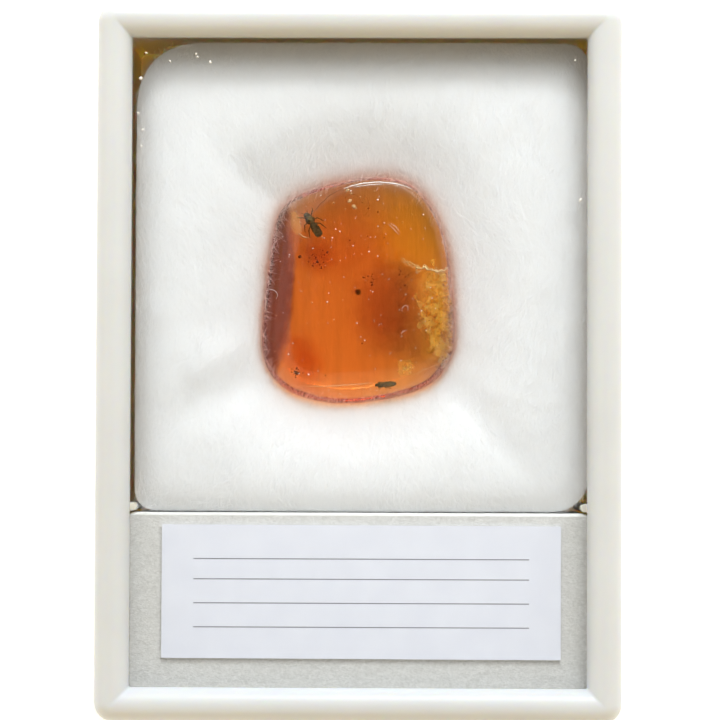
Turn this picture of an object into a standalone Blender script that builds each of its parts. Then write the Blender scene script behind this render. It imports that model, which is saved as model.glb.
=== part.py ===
"""Amber with two sealed insects, bedded on wadding in a small lidded display box.

The box lies on its back: +X is to the right of the window, +Y towards its top, +Z up through it.
The origin is the centre of the tray's flat underside.
"""

import math

import bmesh
import bpy
from mathutils import Matrix, Vector

MM = 0.001
GAP = 0.3 * MM  # clearance between pieces that rest on or in each other
CARD_GAP = 0.1 * MM  # the thin card lies closer

# Lid: a moulded frame round a clear pane
LID_WIDTH = 70.0 * MM
LID_LENGTH = 95.8 * MM
BOX_HEIGHT = 28.0 * MM
LID_CORNER = 2.6 * MM
SKIRT_THICK = 1.5 * MM
SKIRT_LOW = 17.0 * MM  # height of the skirt's lower edge
BAR_WIDTH = 4.6 * MM
BEAD_RIDGE = 2.1 * MM  # the bead's crown, from the outer face
BEAD_SPRING = 25.5 * MM  # height where the outer face turns into the bead
LIP_TOP = 25.9 * MM
LIP_UNDER = 25.3 * MM
REBATE = 1.6 * MM  # how far the pane's edge goes under the lip
STEP_UNDER = 23.6 * MM  # the step that comes down on the tray's rim
PANE_THICK = 1.2 * MM
BEAD_STEPS = 6
CORNER_STEPS = 6
SHARP_CORNER = 0.25 * MM

# Tray
TRAY_WALL = 2.0 * MM
TRAY_FLOOR = 2.0 * MM
TRAY_TOP = STEP_UNDER - GAP
FOOT_ROUND = 0.8 * MM
RIB_RADIUS = 0.55 * MM
RIB_REACH = 1.5 * MM
RIB_DROP = 0.5 * MM  # how far a rib ends below the tray's rim
RIB_Y = -19.4 * MM

# Label ledge: a moulded cap, open underneath
LEDGE_EDGE_Y = -20.15 * MM
LEDGE_TOP = 22.6 * MM
LEDGE_WALL = 1.5 * MM
LEDGE_ROUND = 0.4 * MM
CARD_WIDTH = 53.3 * MM
CARD_LENGTH = 17.8 * MM
CARD_THICK = 0.35 * MM
CARD_CENTRE = (0.4 * MM, -30.7 * MM)
CARD_TURN = math.radians(-0.1)

# Amber: outlines seen from above, about its own centre, in millimetres
AMBER_CENTRE = (-0.2 * MM, 9.6 * MM)
GIRDLE_POINTS = (
    (13.1, -5.6), (12.4, 3.6), (10.9, 9.5), (7.8, 14.1), (3.2, 15.6), (-2.4, 14.9),
    (-7.3, 13.5), (-10.8, 10.7), (-12.2, 3.6), (-13.0, -5.1), (-12.4, -10.2),
    (-9.1, -13.6), (-2.8, -15.1), (4.9, -14.3), (10.2, -12.2), (12.6, -8.8),
)
FACE_POINTS = (
    (11.9, -3.6), (11.7, 4.0), (10.7, 8.6), (9.2, 11.4), (6.7, 13.9), (2.5, 14.8),
    (-2.3, 13.9), (-5.9, 11.4), (-7.8, 8.6), (-8.9, 4.0), (-9.4, -2.6), (-9.4, -7.1),
    (-8.8, -10.2), (-5.5, -11.4), (0.1, -11.2), (6.4, -10.7), (10.0, -9.5), (11.5, -6.4),
)
GIRDLE_Z = 19.3 * MM
FACE_Z = 22.5 * MM
DOME = 0.5 * MM  # how far the polished face bulges
BASE_Z = 17.8 * MM
BELLY_CURVE = 8.0  # how flat the underside's middle is
BELLY_SCALES = (0.45, 0.68, 0.8, 0.88, 0.94, 0.98)  # its rings, as shares of the girdle
# From the girdle to the face's edge: share of the way in, share of the way up
BEVEL_PROFILE = (
    (0.0, 0.0), (0.03, 0.14), (0.12, 0.30), (0.34, 0.52), (0.60, 0.73), (0.90, 0.94), (1.0, 0.99),
)
FACE_RINGS = (0.8, 0.5, 0.2)
AMBER_RAYS = 56
PARTING_Z = 20.6 * MM

# Insects, in millimetres: where each lies about the amber's centre, its heading and its pocket
GNAT_PLACE = (-6.0, 8.9)
GNAT_HEADING = math.radians(122)
GNAT_POCKET = (2.85, 1.8, 1.15)
MIDGE_PLACE = (3.6, -12.2)
MIDGE_HEADING = math.radians(184)
MIDGE_POCKET = (2.1, 0.9, 0.75)
MIDGE_DROP = 0.4
WING_THICK = 0.06
LEG_RADII = (0.06, 0.07, 0.05, 0.035)
FEELER_RADII = (0.035, 0.03, 0.02)
HIP_OUT = 0.12
TOE_LENGTH = 0.2

# Wadding
PAD_LOW = (-30.1 * MM, -19.8 * MM)
PAD_HIGH = (30.8 * MM, 43.2 * MM)
PAD_CORNERS = (3.0 * MM, 8.5 * MM, 2.8 * MM, 4.8 * MM)  # top right, top left, lower left, lower right
PAD_PLATEAU = 22.4 * MM
PAD_RAY_STEP = 3.2 * MM
DISH_DEPTH = 3.0 * MM
DISH_WIDTH = 6.5 * MM
PAD_RINGS = (0.08, 0.18, 0.30, 0.44, 0.58, 0.71, 0.82, 0.91, 0.97, 1.0)
# How the pad rolls down to each side: width of the roll, then its drop at the wall
ROLL_TOP = (9.0 * MM, 3.2 * MM)
ROLL_RIGHT = (6.5 * MM, 3.0 * MM)
ROLL_LEFT = (4.5 * MM, 3.6 * MM)
ROLL_LEDGE = (4.0 * MM, 1.6 * MM)
# Creases pressed into the pad, in millimetres: start, end, half width, height
CREASES = (
    ((-12.0, 3.5), (-28.0, -2.5), 1.8, 0.6),
    ((-11.5, -1.5), (-28.0, -8.0), 2.2, -0.8),
    ((11.5, -1.0), (22.0, -15.0), 2.4, -1.0),
    ((-11.0, 21.0), (-20.0, 30.0), 2.0, -0.6),
)


def clear_scene():
    for old in list(bpy.data.objects):
        bpy.data.objects.remove(old)


def material(name, colour, roughness, transmission=0.0, ior=1.5):
    made = bpy.data.materials.new(name)
    made.use_nodes = True
    shader = made.node_tree.nodes["Principled BSDF"]
    shader.inputs["Base Color"].default_value = (*colour, 1.0)
    shader.inputs["Roughness"].default_value = roughness
    shader.inputs["Metallic"].default_value = 0.0
    shader.inputs["Transmission Weight"].default_value = transmission
    shader.inputs["IOR"].default_value = ior
    made.diffuse_color = (*colour, 1.0)
    return made


def make_object(name, mesh_builder, finish, sharp_angle=math.radians(40)):
    """Turns a bmesh into an object whose faces point out, with edges sharper than the angle kept crisp."""
    bmesh.ops.recalc_face_normals(mesh_builder, faces=mesh_builder.faces)
    if mesh_builder.calc_volume(signed=True) < 0:
        bmesh.ops.reverse_faces(mesh_builder, faces=mesh_builder.faces)
    mesh = bpy.data.meshes.new(name)
    mesh_builder.to_mesh(mesh)
    mesh_builder.free()
    mesh.shade_smooth()
    mesh.set_sharp_from_angle(angle=sharp_angle)
    made = bpy.data.objects.new(name, mesh)
    made.data.materials.append(finish)
    bpy.context.scene.collection.objects.link(made)
    return made


def cap(builder, loop, pole):
    """Closes a ring with one face, or with a fan to a pole."""
    if pole is None:
        builder.faces.new(loop)
        return
    centre = builder.verts.new(pole)
    for one, following in zip(loop, loop[1:] + loop[:1]):
        builder.faces.new((one, following, centre))


def loft(name, rings, finish, closed=False, poles=(None, None), sharp_angle=math.radians(40)):
    """Joins rings of equal length into one skin. A closed loft runs from the last ring back to the first."""
    builder = bmesh.new()
    loops = [[builder.verts.new(point) for point in ring] for ring in rings]
    pairs = list(zip(loops, loops[1:]))
    if closed:
        pairs.append((loops[-1], loops[0]))
    for low, high in pairs:
        for i in range(len(low)):
            j = (i + 1) % len(low)
            builder.faces.new((low[i], low[j], high[j], high[i]))
    if not closed:
        cap(builder, loops[0], poles[0])
        cap(builder, loops[-1], poles[1])
    return make_object(name, builder, finish, sharp_angle)


def rounded_rectangle(low, high, radii, steps=CORNER_STEPS):
    """Points of a rectangle with round corners, counter-clockwise from the corner at high x and high y."""
    corners = ((high[0], high[1]), (low[0], high[1]), (low[0], low[1]), (high[0], low[1]))
    points = []
    for quarter, ((x, y), radius) in enumerate(zip(corners, radii)):
        centre_x = x - math.copysign(radius, x - (low[0] + high[0]) / 2)
        centre_y = y - math.copysign(radius, y - (low[1] + high[1]) / 2)
        for i in range(steps + 1):
            angle = math.radians(90) * (quarter + i / steps)
            points.append((centre_x + radius * math.cos(angle), centre_y + radius * math.sin(angle)))
    return points


def box_ring(half_width, half_length, radius, z, centre_y=0.0):
    low = (-half_width, centre_y - half_length)
    high = (half_width, centre_y + half_length)
    return [Vector((x, y, z)) for x, y in rounded_rectangle(low, high, (radius,) * 4)]


def lid_ring(inset, z):
    """The lid's outline at a distance in from its outer face. The corners turn sharp inside the ridge."""
    radius = max(LID_CORNER - inset, SHARP_CORNER)
    return box_ring(LID_WIDTH / 2 - inset, LID_LENGTH / 2 - inset, radius, z)


def bead_profile():
    """The bead from the outer face over the crown to the lip, as (inset, height)."""
    points = []
    for i in range(BEAD_STEPS + 1):
        turn = math.radians(90) * i / BEAD_STEPS
        rise = (BOX_HEIGHT - BEAD_SPRING) * math.sin(turn)
        points.append((BEAD_RIDGE * (1 - math.cos(turn)), BEAD_SPRING + rise))
    inner_width = BAR_WIDTH - BEAD_RIDGE
    for i in range(1, BEAD_STEPS + 1):
        turn = math.radians(78) * i / BEAD_STEPS
        share = math.sin(turn) / math.sin(math.radians(78))
        fall = (1 - math.cos(turn)) / (1 - math.cos(math.radians(78)))
        points.append((BEAD_RIDGE + inner_width * share, BOX_HEIGHT - (BOX_HEIGHT - LIP_TOP) * fall))
    return points


def make_lid_frame(finish):
    profile = [(0.0, SKIRT_LOW)] + bead_profile()
    profile += [
        (BAR_WIDTH, LIP_UNDER),
        (BAR_WIDTH - REBATE, LIP_UNDER),
        (BAR_WIDTH - REBATE, STEP_UNDER),
        (SKIRT_THICK, STEP_UNDER),
        (SKIRT_THICK, SKIRT_LOW),
    ]
    return loft("lid_frame", [lid_ring(inset, z) for inset, z in profile], finish, closed=True)


def make_pane(finish):
    inset = BAR_WIDTH - REBATE + GAP
    top = LIP_UNDER - GAP
    rings = [lid_ring(inset, top - PANE_THICK), lid_ring(inset, top)]
    return loft("window_pane", rings, finish)


def tray_half_sizes():
    """Half the tray's outside width and length: it slides inside the skirt."""
    inset = SKIRT_THICK + GAP
    return LID_WIDTH / 2 - inset, LID_LENGTH / 2 - inset


def make_tray(finish):
    half_width, half_length = tray_half_sizes()
    inner_width, inner_length = half_width - TRAY_WALL, half_length - TRAY_WALL
    corner, inner_corner = 2.0 * MM, 1.0 * MM
    rings = [
        box_ring(half_width - FOOT_ROUND, half_length - FOOT_ROUND, corner - FOOT_ROUND, 0.0),
        box_ring(half_width - 0.3 * FOOT_ROUND, half_length - 0.3 * FOOT_ROUND,
                 corner - 0.3 * FOOT_ROUND, 0.3 * FOOT_ROUND),
        box_ring(half_width, half_length, corner, FOOT_ROUND),
        box_ring(half_width, half_length, corner, TRAY_TOP),
        box_ring(inner_width, inner_length, inner_corner, TRAY_TOP),
        box_ring(inner_width, inner_length, inner_corner, TRAY_FLOOR),
    ]
    tray = loft("tray", rings, finish, sharp_angle=math.radians(35))
    for side in (-1, 1):
        add_boolean(tray, make_rib(side, inner_width), "UNION")
    return tray


def make_rib(side, wall_x):
    """A half-round rib up a side wall, rooted in the wall, that keeps the ledge from sliding."""
    root = wall_x + TRAY_WALL / 2
    tip = wall_x - RIB_REACH + RIB_RADIUS
    points = [(root, RIB_Y - RIB_RADIUS), (root, RIB_Y + RIB_RADIUS)]
    for i in range(CORNER_STEPS + 1):
        angle = math.radians(90 + 180 * i / CORNER_STEPS)
        points.append((tip + RIB_RADIUS * math.cos(angle), RIB_Y + RIB_RADIUS * math.sin(angle)))
    heights = (TRAY_FLOOR / 2, TRAY_TOP - RIB_DROP)
    rings = [[Vector((side * x, y, z)) for x, y in points] for z in heights]
    return as_cutter(loft("rib_shape", rings, material("rib_shape", (1, 1, 1), 0.5)))


def as_cutter(shape):
    shape.hide_render = True
    shape.display_type = "WIRE"
    return shape


def add_boolean(target, other, operation):
    modifier = target.modifiers.new(operation.title(), "BOOLEAN")
    modifier.object = other
    modifier.operation = operation
    modifier.solver = "EXACT"


def make_ledge(finish):
    """The raised platform that carries the card: a cap with thin walls, open underneath."""
    half_width = tray_half_sizes()[0] - TRAY_WALL - GAP
    low_y = -(tray_half_sizes()[1] - TRAY_WALL - GAP)
    half_length = (LEDGE_EDGE_Y - low_y) / 2
    centre_y = (LEDGE_EDGE_Y + low_y) / 2
    foot_z, corner = TRAY_FLOOR + GAP, 0.9 * MM

    def ring(inset, z):
        return box_ring(half_width - inset, half_length - inset, corner - inset / 3, z, centre_y)

    rings = [
        ring(LEDGE_WALL, LEDGE_TOP - LEDGE_WALL),
        ring(LEDGE_WALL, foot_z),
        ring(0.0, foot_z),
        ring(0.0, LEDGE_TOP - LEDGE_ROUND),
        ring(0.3 * LEDGE_ROUND, LEDGE_TOP - 0.3 * LEDGE_ROUND),
        ring(LEDGE_ROUND, LEDGE_TOP),
    ]
    return loft("label_ledge", rings, finish, sharp_angle=math.radians(50))


def make_card(finish):
    low = (-CARD_WIDTH / 2, -CARD_LENGTH / 2)
    high = (CARD_WIDTH / 2, CARD_LENGTH / 2)
    outline = rounded_rectangle(low, high, (0.1 * MM,) * 4, steps=1)
    place = Matrix.Translation((*CARD_CENTRE, 0.0)) @ Matrix.Rotation(CARD_TURN, 4, "Z")
    under = LEDGE_TOP + CARD_GAP
    rings = [[place @ Vector((x, y, z)) for x, y in outline] for z in (under, under + CARD_THICK)]
    return loft("label_card", rings, finish)


def closed_curve(points, steps=8):
    """A smooth closed curve through the points, in metres."""
    curve = []
    count = len(points)
    for i in range(count):
        before, start, end, after = (Vector(points[(i + k) % count]) for k in (-1, 0, 1, 2))
        for step in range(steps):
            t = step / steps
            curve.append(MM * 0.5 * (
                2 * start + (end - before) * t
                + (2 * before - 5 * start + 4 * end - after) * t ** 2
                + (3 * start - before - 3 * end + after) * t ** 3
            ))
    return curve


def radius_at(curve, angle):
    """How far the closed curve lies from its centre in a direction."""
    direction = Vector((math.cos(angle), math.sin(angle)))
    normal = Vector((-direction.y, direction.x))
    for one, following in zip(curve, curve[1:] + curve[:1]):
        side_one, side_next = one.dot(normal), following.dot(normal)
        if side_one <= 0 < side_next and (one + following).dot(direction) > 0:
            share = side_one / (side_one - side_next)
            return one.lerp(following, share).dot(direction)
    raise ValueError("the outline doesn't surround its centre")


def lerp(a, b, share):
    return a + (b - a) * share


def amber_point(angle, radius, z):
    x = AMBER_CENTRE[0] + radius * math.cos(angle)
    y = AMBER_CENTRE[1] + radius * math.sin(angle)
    return Vector((x, y, z))


def belly_rings(girdle, angles, grow=0.0):
    """Rings of the rounded underside, from its middle outwards, grown for the bed that holds it."""
    rings = []
    for scale in BELLY_SCALES:
        z = lerp(BASE_Z, GIRDLE_Z, scale ** BELLY_CURVE) - grow
        rings.append([amber_point(a, r * scale + grow, z) for a, r in zip(angles, girdle)])
    return rings


def amber_shape(name, finish):
    """The whole stone, before it is parted."""
    angles = [math.tau * i / AMBER_RAYS for i in range(AMBER_RAYS)]
    girdle_curve, face_curve = closed_curve(GIRDLE_POINTS), closed_curve(FACE_POINTS)
    girdle = [radius_at(girdle_curve, a) for a in angles]
    face = [radius_at(face_curve, a) for a in angles]
    rings = belly_rings(girdle, angles)
    for inward, upward in BEVEL_PROFILE:
        z = lerp(GIRDLE_Z, FACE_Z, upward)
        rings.append([amber_point(a, lerp(g, f, inward), z) for a, g, f in zip(angles, girdle, face)])
    for scale in FACE_RINGS:
        z = FACE_Z + DOME * (1 - scale ** 2)
        rings.append([amber_point(a, f * scale, z) for a, f in zip(angles, face)])
    poles = (amber_point(0, 0, BASE_Z), amber_point(0, 0, FACE_Z + DOME))
    return loft(name, rings, finish, poles=poles, sharp_angle=math.radians(60))


def half_space(name, low_z, high_z, finish):
    """A block that keeps only what lies between two heights."""
    reach = 20 * MM
    low = (AMBER_CENTRE[0] - reach, AMBER_CENTRE[1] - reach)
    high = (AMBER_CENTRE[0] + reach, AMBER_CENTRE[1] + reach)
    outline = rounded_rectangle(low, high, (MM,) * 4, steps=1)
    rings = [[Vector((x, y, z)) for x, y in outline] for z in (low_z, high_z)]
    return as_cutter(loft(name, rings, finish))


def make_pocket(name, place, heading, radii, drop, finish):
    """An egg-shaped hollow astride the parting plane."""
    builder = bmesh.new()
    bmesh.ops.create_uvsphere(builder, u_segments=20, v_segments=10, radius=1.0)
    matrix = insect_matrix(place, heading, drop) @ Matrix.Diagonal((*radii, 1.0))
    bmesh.ops.transform(builder, matrix=matrix, verts=builder.verts)
    return as_cutter(make_object(name, builder, finish))


def insect_matrix(place, heading, drop):
    """From an insect's own millimetres, head along +X, to its place on the parting plane."""
    x = AMBER_CENTRE[0] + place[0] * MM
    y = AMBER_CENTRE[1] + place[1] * MM
    turned = Matrix.Translation((x, y, PARTING_Z - drop * MM)) @ Matrix.Rotation(heading, 4, "Z")
    return turned @ Matrix.Scale(MM, 4)


def make_amber(finish):
    pockets = [
        make_pocket("gnat_pocket", GNAT_PLACE, GNAT_HEADING, GNAT_POCKET, 0.0, finish),
        make_pocket("midge_pocket", MIDGE_PLACE, MIDGE_HEADING, MIDGE_POCKET, MIDGE_DROP, finish),
    ]
    margin = 5 * MM
    spans = {
        "amber_upper_half": (PARTING_Z + GAP / 2, FACE_Z + DOME + margin),
        "amber_lower_half": (BASE_Z - margin, PARTING_Z - GAP / 2),
    }
    for name, (low_z, high_z) in spans.items():
        half = amber_shape(name, finish)
        add_boolean(half, half_space(name + "_span", low_z, high_z, finish), "INTERSECT")
        for pocket in pockets:
            add_boolean(half, pocket, "DIFFERENCE")


def ellipsoid(centre, radii, finish, tilt=0.0):
    builder = bmesh.new()
    bmesh.ops.create_uvsphere(builder, u_segments=12, v_segments=8, radius=1.0)
    matrix = Matrix.Translation(centre) @ Matrix.Rotation(tilt, 4, "Y") @ Matrix.Diagonal((*radii, 1.0))
    bmesh.ops.transform(builder, matrix=matrix, verts=builder.verts)
    return make_object("body_shape", builder, finish)


def limb(points, radii, finish, sides=6):
    """A jointed limb: a tapering tube through its joints."""
    rings = []
    for i, (point, radius) in enumerate(zip(points, radii)):
        before, after = Vector(points[max(i - 1, 0)]), Vector(points[min(i + 1, len(points) - 1)])
        frame = (after - before).to_track_quat("Z", "Y").to_matrix()
        ring = []
        for k in range(sides):
            angle = math.tau * k / sides
            offset = Vector((math.cos(angle), math.sin(angle), 0.0)) * radius
            ring.append(Vector(point) + frame @ offset)
        rings.append(ring)
    return loft("limb_shape", rings, finish)


def wing(root, length, width, thick, spread, side, finish):
    """A flat wing laid back from the thorax, wider towards its tip."""
    outline = ((0.0, 0.10), (0.25, 0.34), (0.6, 0.5), (0.88, 0.40), (1.0, 0.0),
               (0.88, -0.34), (0.6, -0.40), (0.25, -0.20), (0.0, -0.10))
    turn = Matrix.Translation(root) @ Matrix.Rotation(side * spread, 4, "Z")
    rings = []
    for z in (-thick / 2, thick / 2):
        rings.append([turn @ Vector((-length * along, side * width * across, z)) for along, across in outline])
    return loft("wing_shape", rings, finish)


def leg_joints(side, root_x, knee, foot):
    """Hip, knee, heel and toe of one leg. knee and foot are (x, y, z) with y outwards."""
    hip = (root_x, side * HIP_OUT, -HIP_OUT)
    toe = (foot[0] + math.copysign(TOE_LENGTH, foot[0]), side * (foot[1] + TOE_LENGTH / 2), foot[2])
    return [hip, (knee[0], side * knee[1], knee[2]), (foot[0], side * foot[1], foot[2]), toe]


def fuse(name, shapes, matrix):
    """Joins shapes modelled in millimetres into one body and sets it in its place."""
    body = shapes[0]
    body.name = name
    body.data.name = name
    for shape in shapes[1:]:
        add_boolean(body, as_cutter(shape), "UNION")
    for shape in shapes:
        shape.matrix_world = matrix
    return body


def make_gnat(finish):
    """The larger insect: humped thorax, slender abdomen under folded wings, long legs held out."""
    shapes = [
        ellipsoid((0.75, 0, 0.05), (0.62, 0.64, 0.48), finish, tilt=0.2),
        ellipsoid((-0.65, 0, -0.05), (1.20, 0.58, 0.38), finish, tilt=-0.08),
        ellipsoid((1.40, 0, -0.08), (0.32, 0.40, 0.29), finish),
    ]
    legs = ((1.0, (1.45, 0.70, 0.15), (1.65, 1.05, -0.40)),
            (0.70, (0.55, 0.98, 0.20), (-0.05, 1.35, -0.40)),
            (0.40, (-0.35, 0.92, 0.15), (-1.10, 1.20, -0.40)))
    for side in (-1, 1):
        shapes.append(wing((0.60, side * 0.18, 0.44), 2.45, 0.90, WING_THICK, 0.20, side, finish))
        feeler = [(1.42, side * 0.10, 0.0), (1.75, side * 0.26, 0.22), (2.0, side * 0.45, 0.28)]
        shapes.append(limb(feeler, FEELER_RADII, finish))
        for root_x, knee, foot in legs:
            shapes.append(limb(leg_joints(side, root_x, knee, foot), LEG_RADII, finish))
    return fuse("insect_gnat", shapes, insect_matrix(GNAT_PLACE, GNAT_HEADING, 0.0))


def make_midge(finish):
    """The smaller insect: a spindle of body and folded wings with its legs tucked in."""
    shapes = [
        ellipsoid((0.50, 0, 0.0), (0.54, 0.46, 0.36), finish),
        ellipsoid((-0.55, 0, -0.03), (1.05, 0.40, 0.30), finish),
        ellipsoid((1.10, 0, -0.06), (0.24, 0.24, 0.21), finish),
    ]
    legs = ((0.55, (0.85, 0.36, -0.30), (0.60, 0.44, -0.42)),
            (0.20, (-0.10, 0.42, -0.28), (-0.65, 0.46, -0.40)))
    for side in (-1, 1):
        shapes.append(wing((0.40, side * 0.12, 0.32), 2.0, 0.62, WING_THICK, 0.08, side, finish))
        for root_x, knee, foot in legs:
            shapes.append(limb(leg_joints(side, root_x, knee, foot), LEG_RADII, finish))
    return fuse("insect_midge", shapes, insect_matrix(MIDGE_PLACE, MIDGE_HEADING, MIDGE_DROP))


def roll_drop(distance, roll):
    """How far the pad has rolled down at a distance in from a side."""
    width, drop = roll
    if distance >= width:
        return 0.0
    lean = 1 - max(distance, 0.0) / width
    return drop * (1 - math.sqrt(max(0.0, 1 - lean ** 2)))


def crease_lift(x, y):
    """Height that the pressed-in creases add or take away."""
    lift = 0.0
    for start, end, half_width, height in CREASES:
        origin, along = Vector(start) * MM, (Vector(end) - Vector(start)) * MM
        offset = Vector((x, y)) - origin
        share = offset.dot(along) / along.length_squared
        across = (offset - along * share).length / (half_width * MM)
        ends = math.exp(-((share - 0.5) / 0.42) ** 4)
        lift += height * MM * ends * math.exp(-across ** 2)
    return lift


def pad_height(x, y, outside):
    """The wadding's surface. outside is the distance from the stone's girdle."""
    dish = DISH_DEPTH * math.exp(-(outside / DISH_WIDTH) ** 2)
    roll = roll_drop(PAD_HIGH[1] - y, ROLL_TOP) + roll_drop(PAD_HIGH[0] - x, ROLL_RIGHT)
    roll += roll_drop(x - PAD_LOW[0], ROLL_LEFT) + roll_drop(y - PAD_LOW[1], ROLL_LEDGE)
    fade = 1 - math.exp(-(outside / (2 * MM)) ** 2)
    return min(PAD_PLATEAU, PAD_PLATEAU - dish - roll + fade * crease_lift(x, y))


def pad_outline():
    """Points round the pad, close enough together to follow its sides."""
    corners = rounded_rectangle(PAD_LOW, PAD_HIGH, PAD_CORNERS, steps=5)
    points = []
    for start, end in zip(corners, corners[1:] + corners[:1]):
        start, end = Vector(start), Vector(end)
        steps = max(1, round((end - start).length / PAD_RAY_STEP))
        points += [start.lerp(end, i / steps) for i in range(steps)]
    return points


def make_wadding(finish):
    """The pad, with the stone's bed pressed into it."""
    centre = Vector(AMBER_CENTRE)
    girdle_curve = closed_curve(GIRDLE_POINTS)
    outline = pad_outline()
    angles = [math.atan2(p.y - centre.y, p.x - centre.x) for p in outline]
    girdle = [radius_at(girdle_curve, a) for a in angles]
    rings = belly_rings(girdle, angles, grow=GAP)
    rings.append([amber_point(a, r + GAP, GIRDLE_Z) for a, r in zip(angles, girdle)])
    for share in PAD_RINGS:
        ring = []
        for angle, radius, edge in zip(angles, girdle, outline):
            far = (edge - centre).length
            reach = lerp(radius + GAP, far, share)
            point = amber_point(angle, reach, 0.0)
            point.z = pad_height(point.x, point.y, reach - radius)
            ring.append(point)
        rings.append(ring)
    rings.append([Vector((p.x, p.y, TRAY_FLOOR + GAP)) for p in outline])
    poles = (amber_point(0, 0, BASE_Z - GAP), None)
    return loft("wadding", rings, finish, poles=poles, sharp_angle=math.radians(70))


def main():
    clear_scene()
    ivory = material("ivory_plastic", (0.80, 0.80, 0.75), 0.35)
    grained = material("grained_plastic", (0.66, 0.65, 0.60), 0.6)
    clear = material("clear_pane", (0.97, 0.98, 0.97), 0.02, transmission=1.0, ior=1.49)
    paper = material("card_paper", (0.86, 0.87, 0.90), 0.6)
    amber = material("amber", (0.85, 0.35, 0.05), 0.03, transmission=1.0, ior=1.54)
    fibre = material("wadding_fibre", (0.92, 0.93, 0.94), 0.9)
    chitin = material("insect_chitin", (0.10, 0.085, 0.05), 0.5)
    make_tray(ivory)
    make_lid_frame(ivory)
    make_pane(clear)
    make_ledge(grained)
    make_card(paper)
    make_wadding(fibre)
    make_amber(amber)
    make_gnat(chitin)
    make_midge(chitin)


main()
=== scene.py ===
"""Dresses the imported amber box: fibre wadding, one clear amber with its inclusions, plastic and card."""

import math

import bmesh
import bpy
import numpy as np
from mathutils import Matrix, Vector
from mathutils.bvhtree import BVHTree


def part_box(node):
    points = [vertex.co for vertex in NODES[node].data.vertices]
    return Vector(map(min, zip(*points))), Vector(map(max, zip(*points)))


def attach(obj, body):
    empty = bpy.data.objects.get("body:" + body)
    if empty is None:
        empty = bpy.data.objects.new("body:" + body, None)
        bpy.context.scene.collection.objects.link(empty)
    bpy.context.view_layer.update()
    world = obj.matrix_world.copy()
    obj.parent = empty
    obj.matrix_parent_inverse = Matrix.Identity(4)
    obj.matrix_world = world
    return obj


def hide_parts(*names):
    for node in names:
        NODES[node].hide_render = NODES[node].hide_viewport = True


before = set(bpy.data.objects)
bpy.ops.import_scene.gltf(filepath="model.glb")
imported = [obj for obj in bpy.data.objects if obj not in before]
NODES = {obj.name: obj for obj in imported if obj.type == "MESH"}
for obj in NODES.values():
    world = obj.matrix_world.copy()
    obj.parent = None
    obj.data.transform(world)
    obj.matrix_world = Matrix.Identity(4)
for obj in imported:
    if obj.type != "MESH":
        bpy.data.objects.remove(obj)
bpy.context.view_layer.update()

MM = 0.001
FAR = 100 * MM

# Camera: almost straight down, from a little below and to the right of the box's middle
LIP_HEIGHT = 25.9 * MM
CAMERA_PLACE = (6.0 * MM, -12.97 * MM, LIP_HEIGHT + 400 * MM)
CAMERA_TURN = tuple(math.radians(a) for a in (1.892, 0.826, 0.213))
FOCAL_PIXELS = 3010.0
FRAME_PIXELS = 720
SENSOR = 36.0

# Light: a large lamp and a strip beyond the far end, and a room that is bright there, dim and warm here
KEY_PLACE = (85 * MM, 330 * MM, 340 * MM)
KEY_TARGET = (0, 0, 20 * MM)
KEY_SIZE = (320 * MM, 200 * MM)
KEY_POWER = 0.60
KEY_COLOUR = (0.94, 0.975, 1.0)
STRIP_PLACE = (15 * MM, 330 * MM, 240 * MM)
STRIP_SIZE = (150 * MM, 45 * MM)
STRIP_POWER = 0.42
ROOM_BRIGHT = (0.93, 0.97, 1.01)
ROOM_DIM = (0.76, 0.59, 0.33)
ROOM_TURN = (-0.52, 0.34)
ZENITH = (0.94, 0.984)
ZENITH_SHARE = 0.04
FLOOR_GLOW = 0.42

PLASTIC_IOR = 1.53
PANE_IOR = 1.49

# Shading of the CAD nodes: corners closer than the weld are one, and edges sharper than the angle stay crisp
WELD = 0.002 * MM
SMOOTH_UP_TO = math.radians(35)
INSECT_SMOOTH_UP_TO = math.radians(60)
TINY = 1e-20

# The stone's surface
RAYS = 360
PROFILE_STEP = 0.16 * MM
RIM_ROWS = 4
CAD_RAYS = 56
LEVEL_STEP = 0.01 * MM
PARTING_CLEAR = 0.25 * MM
SKIN = 0.35 * MM
AMBER_IOR = 1.54
AMBER_GLOSS = 0.13
ABSORB_COLOUR = (0.96, 0.645, 0.06)
ABSORB_DENSITY = 262.0

# Broad tones in the amber, two of them painted shade: place and reach in mm from the stone's axis, turn in
# degrees, where each begins and ends to fade, as a share of its reach, and what it lets through
TONES_AND_PAINTED_SHADE = (
    ((-4.5, -3.0), (13.0, 17.0), 0, 0.55, 1.0, (1.0, 0.83, 0.76)),
    ((-2.0, 8.0), (9.5, 8.5), 0, 0.3, 1.0, (0.92, 0.78, 0.66)),
    ((8.5, 8.5), (8.5, 8.0), 30, 0.35, 1.0, (1.0, 1.0, 0.55)),
    ((-7.0, -9.0), (3.0, 4.6), 20, 0.1, 1.0, (0.86, 0.56, 0.42)),
    ((-5.2, 4.6), (3.2, 3.2), 0, 0.1, 1.0, (0.88, 0.66, 0.55)),
    # Painted shade: the dark brown zone below the crack
    ((3.8, -1.6), (5.4, 7.8), -10, 0.3, 1.0, (0.80, 0.64, 0.64)),
    # Painted shade: the left bevel, darkened for the dark that it reflects
    ((-13.5, 3.0), (5.3, 18.0), 0, 0.86, 1.0, (0.38, 0.20, 0.16)),
    ((11.8, -4.5), (3.6, 7.5), 0, 0.3, 1.0, (1.0, 0.98, 0.60)),
)
TONE_LEVEL = 18 * MM
WISPS = 0.22
BODY_TONE = (1.0, 0.82, 0.62)
FLOW_TONE = 0.91

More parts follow.
